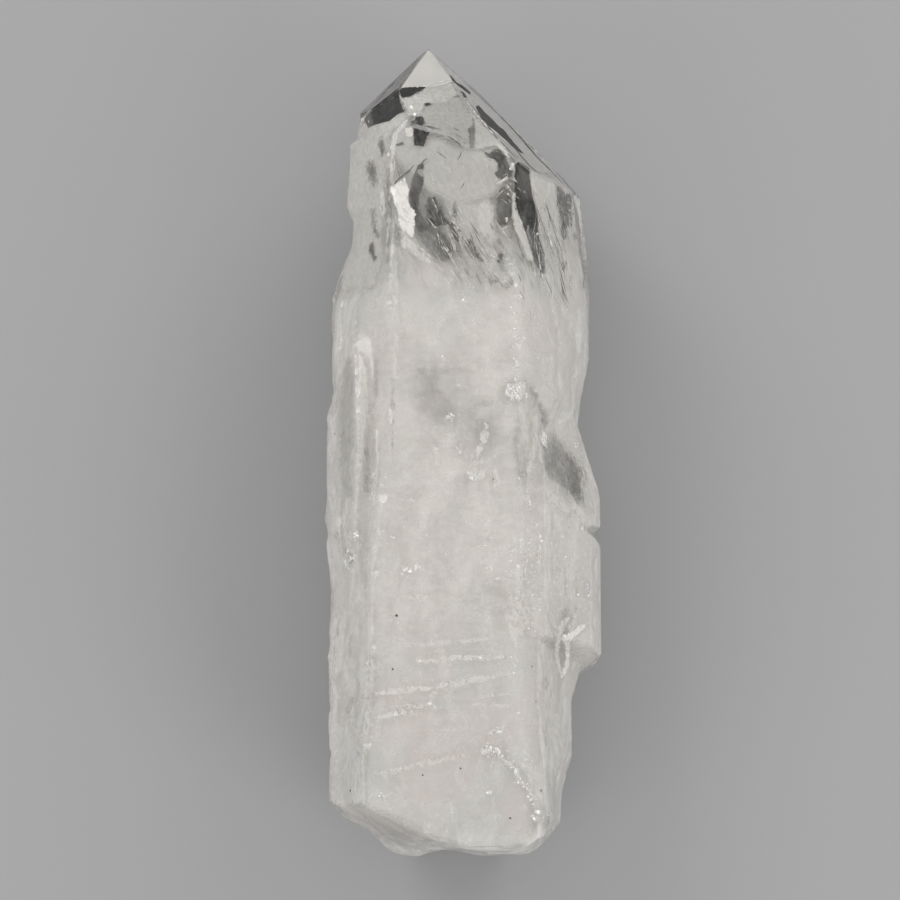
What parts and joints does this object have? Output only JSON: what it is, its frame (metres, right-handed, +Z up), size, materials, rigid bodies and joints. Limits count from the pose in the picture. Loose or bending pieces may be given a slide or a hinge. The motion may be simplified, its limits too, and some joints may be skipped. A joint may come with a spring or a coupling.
{
  "type": "etched quartz crystal",
  "caption": "Long milky quartz point lying on a prism face, with a clear faceted tip, etched sides and a rough broken base.",
  "frame": {"origin": "under the middle of the crystal's box, on the surface that it rests on", "axes": "+Y along the crystal towards the tip, +Z up from the back face it rests on, +X across it to the right seen from above with the tip away"},
  "size_m": [0.03, 0.0924, 0.0238],
  "materials": {
    "quartz": "milky body with a satin etched skin, clear and polished at the tip"
  },
  "bodies": {
    "root": {"quartz_crystal": "quartz"}
  },
  "joints": []
}
